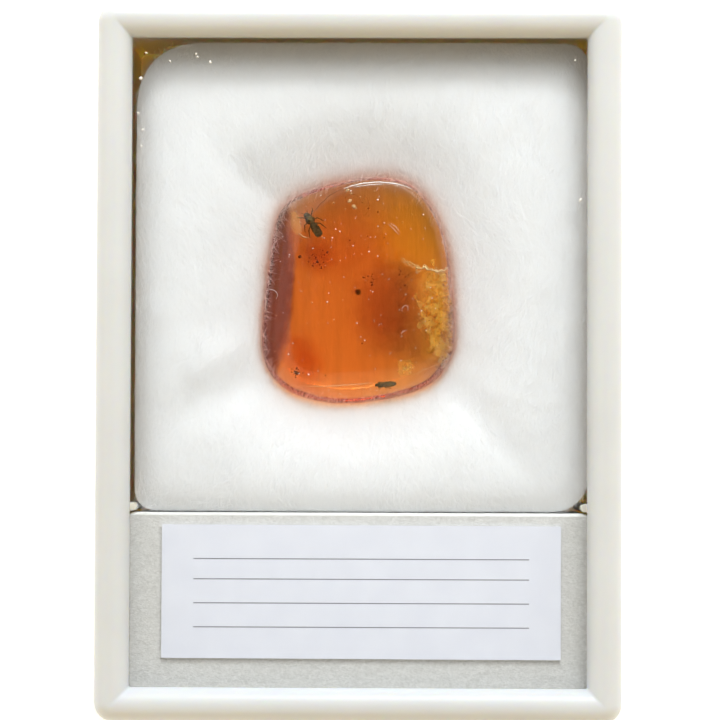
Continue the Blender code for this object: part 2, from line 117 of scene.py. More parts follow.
# Cracks and flakes sealed in the amber, in mm from the stone's axis
CRACK_EDGE = ((3.2, 4.7), (4.4, 4.5), (5.7, 4.4), (6.7, 3.7), (7.4, 3.4), (8.2, 2.9), (9.0, 3.05), (10.0, 2.8),
              (11.0, 2.65), (12.2, 3.0))
CRACK_LENGTH = 13.6
CRACK_UNDERCUT = 3.0
CRACK_RIM = 0.9
CRACK_SHEETS_APART = 0.12 * MM
CRACK_ROWS = 90
CRACK_COLUMNS = 80
CHIP = ((5.4, -9.3), (7.2, -9.2), (7.25, -11.05), (5.6, -11.35))
CHIP_LINE = ((7.2, -11.2), (8.4, -10.7), (10.0, -10.0), (11.1, -9.5), (12.1, -8.8))
PATCH = ((-9.05, 10.5), (-8.4, 10.8), (-7.85, 9.9), (-7.45, 8.0), (-8.2, 7.45), (-8.9, 8.8))
PATCH_LINE = ((-7.9, 7.75), (-7.3, 7.2), (-6.6, 7.1))
EDGE_LINE = ((6.0, 4.3), (6.7, 3.75), (7.4, 3.45), (8.2, 2.95), (9.0, 3.1), (10.0, 2.85), (11.0, 2.7),
             (12.2, 3.05))
LOW_PAINTED_HIGHLIGHT = ((-8.6, -12.7), (-4.6, -12.8), (-0.2, -12.5), (2.1, -12.3))
TOP_PAINTED_HIGHLIGHT = ((-1.9, 13.75), (-0.75, 14.15), (0.9, 14.5), (2.86, 14.65), (5.3, 14.4), (7.1, 13.8))
SHORT_PAINTED_HIGHLIGHT = ((-0.6, 13.95), (1.6, 14.25), (3.4, 14.35))
FACE_LINE = ((-2.1, 13.8), (-3.9, 12.8), (-5.4, 11.3), (-6.1, 10.3))

LINE_CELL = 0.3

# Thin lines: the path, mm under the surface, points, wobble in mm, seed, radius in mm and unevenness
# Painted glints: pale threads along the crack's rough edge, the chip and the patch, and a painted highlight on
# the face's low edge
PAINTED_GLINT_LINES = ((EDGE_LINE, 0.10, 90, 0.28, 50, 0.085, 0.9), (EDGE_LINE, 0.15, 90, 0.42, 58, 0.05, 0.9),
                (EDGE_LINE, 0.20, 90, 0.55, 62, 0.04, 0.9), (LOW_PAINTED_HIGHLIGHT, 0.12, 60, 0.05, 66, 0.07, 0.4),
                (CHIP_LINE, 0.4, 40, 0.06, 53, 0.04, 0.5), (PATCH_LINE, 0.3, 24, 0.02, 56, 0.10, 0.0))
# Painted highlight: white threads on the polished face's top edge
PAINTED_HIGHLIGHT_LINES = ((TOP_PAINTED_HIGHLIGHT, -0.03, 60, 0.02, 68, 0.11, 0.3), (SHORT_PAINTED_HIGHLIGHT, -0.03, 60, 0.02, 68, 0.05, 0.3))
# Painted shade: a dark thread along the polished face's upper left edge
PAINTED_SHADE_LINES = ((FACE_LINE, 0.05, 60, 0.03, 70, 0.04, 0.0),)
BUBBLES = ((-1.4, 13.5, 0.26), (-0.9, 13.1, 0.16), (-0.55, 11.3, 0.30), (-1.1, 12.1, 0.26), (-3.25, 11.8, 0.11),
           (-0.2, 11.1, 0.14), (-1.7, 11.0, 0.09), (0.3, 12.6, 0.10), (2.2, 13.4, 0.09), (-4.8, 7.2, 0.10))
BUBBLE_RINGS = ((-0.75, 11.75, 1.15, 0.3, 2.6), (0.2, 11.5, 1.35, -1.2, 0.9), (-1.0, 12.5, 0.7, 1.8, 4.4))
SPECKS = ((-7.8, 4.6, 0.20), (-6.05, 3.4, 0.16), (-4.1, 5.2, 0.16), (1.9, 0.8, 0.15), (-4.3, -11.3, 0.12),
          (0.6, -7.0, 0.11), (11.0, -4.8, 0.11), (-8.1, -10.9, 0.34), (-5.4, 3.9, 0.2), (-6.6, 3.9, 0.12))
SPECK_CLOUDS = ((-5.2, 4.2, 1.3, 26), (-8.2, -10.7, 0.8, 14), (1.6, 1.6, 1.4, 12), (6.0, 1.6, 1.6, 22),
                (0.5, 9.0, 3.5, 12))
MOTES = ((7.25, 10.3), (9.4, 10.9), (6.0, 9.2), (2.2, 13.4), (0.5, 4.9), (7.5, -2.3), (8.2, -3.1), (9.2, -5.3),
         (-6.1, -1.6), (-6.8, -4.4), (-2.1, -9.0), (-3.2, -3.9), (-2.0, -1.3), (-11.1, -8.1), (-9.4, -3.3),
         (-10.9, -3.3), (-12.1, -4.9), (-11.9, -2.0), (-2.4, 4.0), (-1.35, 6.0))
HAIRS = (((-12.6, 0.45), (-12.0, 0.3), (-11.3, 0.15), (-10.85, -0.25), (-10.75, -0.65), (-11.0, -1.05)),
         ((5.95, -2.7), (6.0, -2.2), (6.4, -1.9), (6.75, -2.1), (6.75, -2.7)),
         ((5.8, -5.8), (6.1, -5.45), (6.45, -5.3)),
         ((4.0, 9.0), (4.6, 8.5), (5.1, 8.0), (5.5, 7.5)),
         ((4.3, 9.1), (5.0, 8.7), (5.6, 7.9)))
FLAKE_FIELDS = (((10.8, -3.9), (1.3, 2.8), 120, 0.75), ((6.5, -10.3), (0.45, 0.4), 16, 0.35))
CHIPPED_EDGE = (-0.72, 0.2)
CHIPS = 150

# Wadding
WALL_LEVEL = 8 * MM
PAD_RAYS = 720
PAD_RINGS = 96
SIDE_RINGS = 8
FIBRES_PER_PIECE = 20000
FIBRE_PIECES = 4
FIBRE_SEGMENTS = 3
LOOSE_HAIRS = 2600
PAD_MARGIN = 0.35 * MM
PAD_SWELL = 0.2 * MM
LEDGE_MARGIN = 0.28 * MM
PANE_CLEAR = 0.15 * MM
STONE_CLEAR = 0.05 * MM
FACE_DOTS = 110
# Painted light: a warm tint on the wadding near the stone, with its strength, its reach and its lean to one
# side
PAINTED_STONE_LIGHT = 0.40
PAINTED_STONE_LIGHT_REACH = 0.6 * MM
PAINTED_STONE_LIGHT_LEAN = 0.55
NEST_SHARES = (0.02, 0.1, 0.2, 0.3, 0.4, 0.5, 0.6, 0.7, 0.78, 0.86, 0.92, 0.96, 0.985)

# Dust on the window, in mm from the box's middle, and the size of each grain
DUST = ((-28.6, 41.3, 0.11), (-29.3, 37.9, 0.09), (-25.4, 40.2, 0.08), (-21.9, 41.2, 0.10), (-21.7, 40.8, 0.08),
        (-20.0, 40.1, 0.09), (-29.6, 33.2, 0.09), (28.8, 40.4, 0.07), (29.5, 21.7, 0.10), (-29.2, 28.8, 0.07),
        (-29.0, 31.0, 0.08), (-19.3, 38.6, 0.06), (27.4, 36.2, 0.06), (-28.9, 23.9, 0.06))

# Card: faint ruled lines for writing on, as heights from the box's middle, between two ends
RULED_LINES = (-26.3, -29.0, -32.2, -35.4)
RULED_ENDS = (-22.0, 22.8)
RULED_HALF_WIDTH = 0.05


# Helpers for shaders


def new_material(name):
    made = bpy.data.materials.new(name)
    made.use_nodes = True
    return made, made.node_tree, made.node_tree.nodes["Principled BSDF"]


def add(tree, kind, inputs=None, **settings):
    """Adds a node, sets its properties, and sets or links its inputs by name or number."""
    made = tree.nodes.new(kind)
    for key, value in settings.items():
        setattr(made, key, value)
    for key, value in (inputs or {}).items():
        if isinstance(value, bpy.types.NodeSocket):
            tree.links.new(value, made.inputs[key])
        else:
            made.inputs[key].default_value = value
    return made


def object_place(tree, scale=(1, 1, 1)):
    """Object coordinates in metres, stretched."""
    place = add(tree, "ShaderNodeTexCoord").outputs["Object"]
    return add(tree, "ShaderNodeMapping", {"Vector": place, "Scale": scale}).outputs["Vector"]


def noise_value(tree, place, scale, detail=2.0, rough=0.5, distortion=0.0):
    made = add(tree, "ShaderNodeTexNoise", {"Vector": place, "Scale": scale, "Detail": detail,
                                            "Roughness": rough, "Distortion": distortion})
    return made.outputs["Fac"]


def spread(tree, value, low, high, to_low=0.0, to_high=1.0):
    made = add(tree, "ShaderNodeMapRange", {"Value": value, "From Min": low, "From Max": high,
                                            "To Min": to_low, "To Max": to_high})
    return made.outputs["Result"]


def maths(tree, operation, one, other=0.0):
    return add(tree, "ShaderNodeMath", {0: one, 1: other}, operation=operation).outputs[0]


def blend_colour(tree, share, one, other, mode="MIX"):
    made = add(tree, "ShaderNodeMix", data_type="RGBA", blend_type=mode)
    for socket, value in ((made.inputs["Factor"], share), (made.inputs[6], one), (made.inputs[7], other)):
        if isinstance(value, bpy.types.NodeSocket):
            tree.links.new(value, socket)
        else:
            socket.default_value = (*value, 1.0) if isinstance(value, tuple) else value
    return made.outputs[2]


def attribute(tree, name):
    return add(tree, "ShaderNodeAttribute", attribute_name=name).outputs["Fac"]


def bump(tree, height, strength, distance):
    made = add(tree, "ShaderNodeBump", {"Height": height, "Strength": strength, "Distance": distance})
    return made.outputs["Normal"]


def paint(tree, shader, colour):
    tree.links.new(colour, shader.inputs["Base Color"])


def put(shader, values):
    for key, value in values.items():
        shader.inputs[key].default_value = value


def set_surface(tree, shader_output):
    tree.links.new(shader_output, tree.nodes["Material Output"].inputs["Surface"])


def mix_shaders(tree, share, one, other):
    return add(tree, "ShaderNodeMixShader", {0: share, 1: one, 2: other}).outputs["Shader"]


def let_lamps_through(tree, surface, tint=(1.0, 1.0, 1.0)):
    """Lamps' rays pass straight through, so that what lies behind is lit."""
    light_path = add(tree, "ShaderNodeLightPath")
    clear = add(tree, "ShaderNodeBsdfTransparent", {"Color": (*tint, 1.0)})
    set_surface(tree, mix_shaders(tree, light_path.outputs["Is Shadow Ray"], surface, clear.outputs["BSDF"]))


# Helpers for meshes


def piece(name, points, faces, material, smooth=True, values=None):
    """A mesh piece of the object from arrays of points and of faces, with values for its points."""
    mesh = bpy.data.meshes.new(name)
    points = np.asarray(points, np.float32).reshape(-1, 3)
    faces = np.asarray(faces, np.int32)
    sides = faces.shape[1]
    mesh.vertices.add(len(points))
    mesh.vertices.foreach_set("co", points.ravel())
    mesh.loops.add(faces.size)
    mesh.loops.foreach_set("vertex_index", faces.ravel())
    mesh.polygons.add(len(faces))
    mesh.polygons.foreach_set("loop_start", np.arange(0, faces.size, sides, dtype=np.int32))
    for key, numbers in (values or {}).items():
        made = mesh.attributes.new(key, "FLOAT", "POINT")
        made.data.foreach_set("value", np.asarray(numbers, np.float32).ravel())
    mesh.update(calc_edges=True)
    mesh.validate()
    if smooth:
        mesh.shade_smooth()
    made = bpy.data.objects.new(name, mesh)
    bpy.context.scene.collection.objects.link(made)
    made.data.materials.append(material)
    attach(made, "root")
    return made


def joined(name, parts, material):
    """One piece from many small ones, each given as points and faces."""
    points, faces, start = [], [], 0
    for some_points, some_faces in parts:
        points.append(some_points)
        faces.append(np.asarray(some_faces) + start)
        start += len(some_points)
    return piece(name, np.concatenate(points), np.concatenate(faces), material)


def grid_faces(rows, columns, wrap=True):
    """Quads between successive rows of points. Columns close into a ring where wrap is set."""
    last = columns if wrap else columns - 1
    r, c = np.meshgrid(np.arange(rows - 1), np.arange(last), indexing="ij")
    following = (c + 1) % columns
    quads = (r * columns + c, r * columns + following, (r + 1) * columns + following, (r + 1) * columns + c)
    return np.stack(quads, -1).reshape(-1, 4)


def smooth_rows(values, passes, axis=0, wrap=False):
    """Averages neighbours along one axis. Ends stay fixed unless the axis wraps."""
    values = np.array(values, float)
    for _ in range(passes):
        before, after = np.roll(values, 1, axis), np.roll(values, -1, axis)
        blended = 0.5 * values + 0.25 * (before + after)
        if not wrap:
            ends = [slice(None)] * values.ndim
            for end in (0, -1):
                ends[axis] = end
                blended[tuple(ends)] = values[tuple(ends)]
        values = blended
    return values


def lattice_noise(x, y, cell, seed):
    """Smooth noise from -1 to 1 on a seeded lattice."""
    table = np.random.default_rng(seed).uniform(-1, 1, (256, 256))
    u, v = np.asarray(x) / cell + 100.0, np.asarray(y) / cell + 100.0
    i, j = np.floor(u).astype(int), np.floor(v).astype(int)
    s, t = u - i, v - j
    s, t = s * s * (3 - 2 * s), t * t * (3 - 2 * t)
    near = table[i % 256, j % 256] * (1 - s) + table[(i + 1) % 256, j % 256] * s
    far = table[i % 256, (j + 1) % 256] * (1 - s) + table[(i + 1) % 256, (j + 1) % 256] * s
    return near * (1 - t) + far * t


def along_line(points, count, passes=None):
    """Evenly spaced points on a smooth curve through a few points."""
    points = np.asarray(points, float)
    reach = np.concatenate([[0], np.cumsum(np.linalg.norm(np.diff(points, axis=0), axis=1))])
    places = np.linspace(0, reach[-1], count)
    line = np.stack([np.interp(places, reach, points[:, k]) for k in range(points.shape[1])], -1)
    return smooth_rows(line, count // 8 if passes is None else passes)


def grain(centre, size, random, flat=1.0):
    """A small irregular lump."""
    builder = bmesh.new()
    bmesh.ops.create_icosphere(builder, subdivisions=2, radius=1.0)
    points = np.array([v.co[:] for v in builder.verts])
    faces = [[v.index for v in f.verts] for f in builder.faces]
    builder.free()
    stretch = random.uniform(0.6, 1.3, 3) * (1, 1, flat)
    bend = 1 + 0.35 * np.sin(points @ random.normal(0, 2.2, (3, 3)) + random.uniform(0, 6, 3)).mean(1)
    points = points * bend[:, None] * stretch * size
    turn = random.uniform(0, math.tau)
    spin = np.array([[math.cos(turn), -math.sin(turn), 0], [math.sin(turn), math.cos(turn), 0], [0, 0, 1]])
    return points @ spin.T + centre, faces


def hair(line, radius, sides=5, rough=0.0):
    """A thin tube along a line of points, tapering at its ends."""
    line = np.asarray(line)
    ahead = np.gradient(line, axis=0)
    ahead /= np.linalg.norm(ahead, axis=1)[:, None] + 1e-12
    across = np.cross(ahead, (0, 0, 1))
    across /= np.linalg.norm(across, axis=1)[:, None] + 1e-12
    above = np.cross(across, ahead)
    share = np.linspace(0, 1, len(line))
    girth = radius * (0.35 + 0.65 * np.sin(np.pi * np.clip(share, 0.02, 0.98)))
    girth = (girth * (1 + rough * lattice_noise(line[:, 0], line[:, 1], 0.35 * MM, 71)))[:, None, None]
    turns = np.arange(sides) / sides * math.tau
    rings = np.cos(turns)[None, :, None] * across[:, None] + np.sin(turns)[None, :, None] * above[:, None]
    points = (line[:, None] + girth * rings).reshape(-1, 3)
    return points, grid_faces(len(line), sides)


def node_points(name):
    mesh = NODES[name].data
    points = np.empty(len(mesh.vertices) * 3)
    mesh.vertices.foreach_get("co", points)
    return points.reshape(-1, 3)


def search_tree(name):
    mesh = NODES[name].data
    return BVHTree.FromPolygons([v.co for v in mesh.vertices], [p.vertices for p in mesh.polygons])


def main():
    set_camera()
    set_light()
    add_floor()
    dress_plastic()
    dress_insects()
    stone = Stone()
    add_amber(stone)
    add_inclusions(stone)
    add_wadding(stone)
    add_dust()
    bpy.context.view_layer.update()


def set_camera():
    data = bpy.data.cameras.new("camera")
    data.sensor_width = SENSOR
    data.lens = FOCAL_PIXELS * SENSOR / FRAME_PIXELS
    data.clip_start = 0.01
    camera = bpy.data.objects.new("camera", data)
    camera.location = CAMERA_PLACE
    camera.rotation_euler = CAMERA_TURN
    bpy.context.scene.collection.objects.link(camera)
    bpy.context.scene.camera = camera


def set_light():
    bpy.context.scene.view_settings.view_transform = "Standard"
    world = bpy.data.worlds.new("room")
    world.use_nodes = True
    tree = world.node_tree
    direction = add(tree, "ShaderNodeTexCoord").outputs["Generated"]
    parts = add(tree, "ShaderNodeSeparateXYZ", {"Vector": direction}).outputs
    side = spread(tree, parts["Y"], *ROOM_TURN)
    colour = blend_colour(tree, side, ROOM_DIM, ROOM_BRIGHT)
    background = tree.nodes["Background"]
    tree.links.new(colour, background.inputs["Color"])
    tree.links.new(spread(tree, parts["Z"], *ZENITH, 1.0, ZENITH_SHARE), background.inputs["Strength"])
    bpy.context.scene.world = world
    add_lamp("key", KEY_PLACE, KEY_SIZE, KEY_POWER)
    add_lamp("strip", STRIP_PLACE, STRIP_SIZE, STRIP_POWER)


def add_lamp(name, place, size, power):
    data = bpy.data.lights.new(name, "AREA")
    data.shape = "RECTANGLE"
    data.size, data.size_y = size
    data.energy = power
    data.color = KEY_COLOUR
    lamp = bpy.data.objects.new(name, data)
    lamp.location = place
    lamp.rotation_euler = (Vector(KEY_TARGET) - Vector(place)).to_track_quat("-Z", "Y").to_euler()
    bpy.context.scene.collection.objects.link(lamp)


def add_floor():
    made, tree, shader = new_material("pale_floor")
    tone = spread(tree, noise_value(tree, object_place(tree), 12.0, 3.0), 0.3, 0.7)
    paint(tree, shader, blend_colour(tree, tone, (0.93, 0.93, 0.92), (0.95, 0.95, 0.94)))
    put(shader, {"Roughness": 0.9, "Emission Color": (1, 1, 1, 1), "Emission Strength": FLOOR_GLOW})
    side, steps = 1.6, 9
    axis = np.linspace(-side, side, steps)
    x, y = np.meshgrid(axis, axis)
    points = np.stack([x, y, np.full_like(x, -0.0002)], -1).reshape(-1, 3)
    mesh = bpy.data.meshes.new("floor")
    mesh.from_pydata(points.tolist(), [], grid_faces(steps, steps, wrap=False).tolist())
    floor = bpy.data.objects.new("floor", mesh)
    mesh.materials.append(made)
    bpy.context.scene.collection.objects.link(floor)


def finish_node(name, material, sharp=SMOOTH_UP_TO):
    """Gives a CAD node its material, and shades it as the rounded form that it stands for."""
    mesh = NODES[name].data
    mesh.materials.clear()
    mesh.materials.append(material)
    points = node_points(name)
    corners = np.array([p.vertices[:] for p in mesh.polygons])
    triangles = points[corners]
    ahead, behind = np.roll(triangles, -1, 1) - triangles, np.roll(triangles, 1, 1) - triangles
    lengths = np.linalg.norm(ahead, axis=-1) * np.linalg.norm(behind, axis=-1) + TINY
    weights = np.arccos(np.clip((ahead * behind).sum(-1) / lengths, -1, 1))
    facing = np.cross(ahead[:, 0], behind[:, 0])
    areas = np.linalg.norm(facing, axis=1)[:, None] + TINY
    facing, weights = facing / areas, weights * areas
    places = np.unique(np.round(points / WELD), axis=0, return_inverse=True)[1].ravel()[corners]
    meeting = {}
    for face, row in enumerate(places):
        for corner, place in enumerate(row):
            meeting.setdefault(place, []).append((face, weights[face, corner]))
    normals = []
    for face, row in enumerate(places):
        for place in row:
            near = [facing[f] * w for f, w in meeting[place] if facing[f] @ facing[face] > math.cos(sharp)]
            normals.append(tuple(np.sum(near, axis=0)))
    mesh.shade_smooth()
    mesh.normals_split_custom_set(normals)


def plastic(name, colour, darker, roughness, wander):
    made, tree, shader = new_material(name)
    place = object_place(tree)
    cloud = spread(tree, noise_value(tree, place, 90.0, 3.0), 0.3, 0.7)
    paint(tree, shader, blend_colour(tree, cloud, darker, colour))
    fine = noise_value(tree, place, 2600.0, 2.0)
    tree.links.new(spread(tree, fine, 0.2, 0.8, roughness - 0.05, roughness + 0.07), shader.inputs["Roughness"])
    tree.links.new(bump(tree, fine, 0.10, 0.04 * MM), shader.inputs["Normal"])
    put(shader, {"IOR": PLASTIC_IOR})
    let_light_wander(shader, 0.7, (1.0, 0.78, 0.46), wander)
    return made


def let_light_wander(shader, weight, radius, scale):
    put(shader, {"Subsurface Weight": weight, "Subsurface Radius": radius, "Subsurface Scale": scale})


def grained_plastic():
    """Leather grain, with painted shade in its hollows; a near-white strip is the painted highlight of the edge
    facing the wadding.
    """
    made, tree, shader = new_material("grained_plastic")
    place = object_place(tree, scale=(1.0, 1.7, 1.0))
    warped = noise_value(tree, place, 1150.0, 4.0, 0.6, 1.2)
    wrinkle = noise_value(tree, place, 3200.0, 3.0, 0.55, 0.6)
    height = maths(tree, "ADD", warped, wrinkle)
    # Painted shade: the grain is darker where its height is low
    grained = blend_colour(tree, spread(tree, height, 0.75, 1.25), (0.63, 0.625, 0.60), (0.80, 0.795, 0.775))
    y = add(tree, "ShaderNodeSeparateXYZ", {"Vector": object_place(tree)}).outputs["Y"]
    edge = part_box("label_ledge")[1].y
    # Painted highlight: a plain near-white strip along the rounded edge
    painted_edge_highlight = spread(tree, y, edge - 0.42 * MM, edge - 0.34 * MM)
    paint(tree, shader, blend_colour(tree, painted_edge_highlight, grained, (0.93, 0.93, 0.91)))
    shader.inputs["Roughness"].default_value = 0.6
    tree.links.new(bump(tree, height, 0.5, 0.12 * MM), shader.inputs["Normal"])
    return made


def card_paper():
    made, tree, shader = new_material("card_paper")
    place = object_place(tree)
    cloud = spread(tree, noise_value(tree, place, 300.0, 3.0), 0.35, 0.65)
    paper = blend_colour(tree, cloud, (0.82, 0.84, 0.93), (0.85, 0.87, 0.955))
    parts = add(tree, "ShaderNodeSeparateXYZ", {"Vector": place}).outputs
    ruled = 0.0
    for line in RULED_LINES:
        off = maths(tree, "ABSOLUTE", maths(tree, "SUBTRACT", parts["Y"], line * MM))
        near = spread(tree, off, RULED_HALF_WIDTH * MM, 1.8 * RULED_HALF_WIDTH * MM, 1.0, 0.0)
        ruled = maths(tree, "MAXIMUM", near, ruled)
    for end, sign in zip(RULED_ENDS, (1, -1)):
        inside = maths(tree, "GREATER_THAN", maths(tree, "MULTIPLY", parts["X"], sign), end * MM * sign)
        ruled = maths(tree, "MULTIPLY", ruled, inside)
    paint(tree, shader, blend_colour(tree, ruled, paper, (0.22, 0.22, 0.25)))
    shader.inputs["Roughness"].default_value = 0.6
    tooth = noise_value(tree, place, 3000.0, 3.0)
    tree.links.new(bump(tree, tooth, 0.15, 0.03 * MM), shader.inputs["Normal"])
    return made


def clear_pane():
    made, tree, shader = new_material("clear_pane")
    haze = noise_value(tree, object_place(tree), 60.0, 3.0)
    tree.links.new(spread(tree, haze, 0.3, 0.7, 0.0, 0.02), shader.inputs["Roughness"])
    put(shader, {"Base Color": (0.99, 0.995, 0.99, 1.0), "Transmission Weight": 1.0, "IOR": PANE_IOR})
    let_lamps_through(tree, shader.outputs["BSDF"], (0.96, 0.96, 0.96))
    return made


def dress_plastic():
    lid = plastic("ivory_plastic", (0.74, 0.762, 0.772), (0.71, 0.732, 0.742), 0.36, 1.8 * MM)
    finish_node("lid_frame", lid)
    # The tray's copy of the lid's plastic is painted warmer, as painted warm shade for the box's shaded inside
    tray = plastic("ivory_plastic_painted_warm_shade", (0.86, 0.79, 0.71), (0.82, 0.75, 0.66), 0.40, 3.4 * MM)
    finish_node("tray", tray)
    finish_node("label_ledge", grained_plastic())
    finish_node("label_card", card_paper())
    finish_node("window_pane", clear_pane())


def dress_insects():
    made, tree, shader = new_material("insect_chitin")
    spots = spread(tree, noise_value(tree, object_place(tree), 5000.0, 3.0), 0.35, 0.65)
    paint(tree, shader, blend_colour(tree, spots, (0.03, 0.045, 0.03), (0.17, 0.21, 0.17)))
    shader.inputs["Roughness"].default_value = 0.4
    for name in ("insect_gnat", "insect_midge"):
        finish_node(name, made, INSECT_SMOOTH_UP_TO)


class Stone:
    """The amber's surface, as rows of points from its base to its crown, read from the CAD stone's rings."""

    def __init__(self):
        crown = node_points("amber_upper_half")
        self.centre = crown[np.argmax(crown[:, 2])][:2]
        self.angles = np.linspace(-math.pi, math.pi, RAYS, endpoint=False)
        radii, heights = self.rings()
        radii = np.vstack([radii[0] * 0.01, radii, radii[-1] * 0.01])
        heights = np.concatenate([[heights[0]], heights, [crown[:, 2].max()]])
        rows = [np.stack([radii[0], np.full(RAYS, heights[0])], -1)]
        for k in range(len(heights) - 1):
            length = math.hypot(np.mean(radii[k + 1] - radii[k]), heights[k + 1] - heights[k])
            steps = max(1, round(length / PROFILE_STEP))
            for share in np.arange(1, steps + 1) / steps:
                r = radii[k] * (1 - share) + radii[k + 1] * share
                z = heights[k] * (1 - share) + heights[k + 1] * share
                rows.append(np.stack([r, np.full(RAYS, z)], -1))
        surface = smooth_rows(np.array(rows), 3)
        rim = int(np.argmax(surface[..., 0].mean(1)))
        surface[:rim - RIM_ROWS] = smooth_rows(surface[:rim - RIM_ROWS], 30)
        surface[rim + RIM_ROWS:] = smooth_rows(surface[rim + RIM_ROWS:], 16)
        self.radii, self.heights = surface[..., 0], surface[..., 1]
        self.girdle = self.radii.max(0)
        widest = int(np.argmax(self.radii.mean(1)))
        self.crown = np.maximum.accumulate(self.radii[widest:][::-1], axis=0), self.heights[widest:][::-1]
        self.belly = np.maximum.accumulate(self.radii[:widest + 1], axis=0), self.heights[:widest + 1]

    def rings(self):
        """Radius and height of the CAD stone's own rings, from its base to its crown."""
        points = np.vstack([node_points("amber_lower_half"), node_points("amber_upper_half")])
        offset = points[:, :2] - self.centre
        corner = math.tau / CAD_RAYS
        turns, reach = np.arctan2(offset[:, 1], offset[:, 0]) / corner, np.hypot(offset[:, 0], offset[:, 1])
        on_spoke = np.abs(turns - np.round(turns)) < 0.02
        levels, counts = np.unique(np.round(points[:, 2] / LEVEL_STEP).astype(int), return_counts=True)
        parting = (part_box("amber_lower_half")[1].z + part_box("amber_upper_half")[0].z) / 2
        radii, heights = [], []
        for level in levels[counts >= CAD_RAYS] * LEVEL_STEP:
            ring = (np.abs(points[:, 2] - level) < 0.6 * LEVEL_STEP) & on_spoke
            outline = np.zeros(CAD_RAYS)
            np.maximum.at(outline, np.round(turns[ring]).astype(int) % CAD_RAYS, reach[ring])
            if outline.min() == 0 or abs(level - parting) < PARTING_CLEAR:
                continue
            spokes = np.arange(CAD_RAYS) * corner
            radii.append(smooth_rows(np.interp(self.angles, spokes, outline, period=math.tau), 12, wrap=True))
            heights.append(level)
        return np.array(radii), np.array(heights)

    def points(self):
        x = self.centre[0] + self.radii * np.cos(self.angles)
        y = self.centre[1] + self.radii * np.sin(self.angles)
        wave = 0.035 * MM * lattice_noise(x, y, 2.6 * MM, 3) + 0.012 * MM * lattice_noise(x, y, 0.9 * MM, 4)
        return np.stack([x, y, self.heights + wave], -1)

    def height(self, side, x, y):
        """The height of the crown or the belly at any points, and -1 outside the girdle."""
        radii, heights = side
        reach, column = self.polar(x - self.centre[0], y - self.centre[1])
        result = np.full(reach.shape, -1.0)
        for c in np.unique(column):
            chosen = column == c
            z = np.interp(reach[chosen], radii[:, c], heights[:, c])
            result[chosen] = np.where(reach[chosen] <= radii[-1, c], z, -1.0)
        return result

    def polar(self, x, y):
        """Distance from the axis, and the nearest column of points."""
        column = np.round((np.arctan2(y, x) + math.pi) / math.tau * RAYS).astype(int) % RAYS
        return np.hypot(x, y), column

    def spot(self, x, y, depth):
        """A place from mm off the axis and mm under the top, held inside unless the depth is negative."""
        x, y, depth = (np.atleast_1d(np.asarray(v, float)) * MM for v in (x, y, depth))
        reach, column = self.polar(x, y)
        pull = np.minimum(1.0, (self.girdle[column] - SKIN) / np.maximum(reach, SKIN))
        x, y = self.centre[0] + x * pull, self.centre[1] + y * pull
        top, bottom = self.height(self.crown, x, y), self.height(self.belly, x, y)
        return np.stack([x, y, np.maximum(top - depth, bottom + SKIN)], -1)


def tone_mask(tree, stone, place, reach, turn, inner, outer):
    """Full inside a soft oval, fading to nothing outside it."""
    coordinates = add(tree, "ShaderNodeTexCoord").outputs["Object"]
    oval = add(tree, "ShaderNodeMapping", {"Vector": coordinates}, vector_type="TEXTURE")
    place = (*(stone.centre + np.array(place) * MM), TONE_LEVEL)
    reach = (reach[0] * MM, reach[1] * MM, 1.0)
    put(oval, {"Location": place, "Rotation": (0, 0, math.radians(turn)), "Scale": reach})
    far = add(tree, "ShaderNodeVectorMath", {0: oval.outputs["Vector"]}, operation="LENGTH").outputs["Value"]
    stray = WISPS * (outer - inner)
    wisps = spread(tree, noise_value(tree, object_place(tree), 420.0, 4.0, 0.6), 0.3, 0.7, -stray, stray)
    made = add(tree, "ShaderNodeMapRange", {"Value": maths(tree, "ADD", far, wisps), "From Min": inner,
                                            "From Max": outer, "To Min": 1.0, "To Max": 0.0})
    made.interpolation_type = "SMOOTHSTEP"
    return made.outputs["Result"]


def amber_material(stone):
    made, tree, shader = new_material("amber")
    flow = noise_value(tree, object_place(tree, scale=(1.0, 0.07, 0.3)), 900.0, 3.0, 0.55, 0.3)
    darker = tuple(FLOW_TONE * v for v in BODY_TONE)
    colour = blend_colour(tree, spread(tree, flow, 0.35, 0.65), darker, BODY_TONE)
    for place, reach, turn, inner, outer, tone in TONES_AND_PAINTED_SHADE:
        mask = tone_mask(tree, stone, place, reach, turn, inner, outer)
        colour = blend_colour(tree, mask, colour, tone, "MULTIPLY")
    paint(tree, shader, colour)
    clear = {"Roughness": 0.0, "Transmission Weight": 1.0, "IOR": AMBER_IOR}
    put(shader, {**clear, "Specular IOR Level": AMBER_GLOSS})
    let_lamps_through(tree, shader.outputs["BSDF"], (0.97, 0.95, 0.93))
    inputs = {"Color": (*ABSORB_COLOUR, 1.0), "Density": ABSORB_DENSITY}
    absorb = add(tree, "ShaderNodeVolumeAbsorption", inputs)
    tree.links.new(absorb.outputs["Volume"], tree.nodes["Material Output"].inputs["Volume"])
    return made


def add_amber(stone):
    points = stone.points()
    rows = len(points)
    made = piece("amber", points, grid_faces(rows, RAYS), amber_material(stone))
    builder = bmesh.new()
    builder.from_mesh(made.data)
    builder.verts.ensure_lookup_table()
    for start in (0, (rows - 1) * RAYS):
        builder.faces.new([builder.verts[start + i] for i in range(RAYS)])
    bmesh.ops.recalc_face_normals(builder, faces=builder.faces)
    builder.to_mesh(made.data)
    builder.free()
    made.data.shade_smooth()
    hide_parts("amber_upper_half", "amber_lower_half")


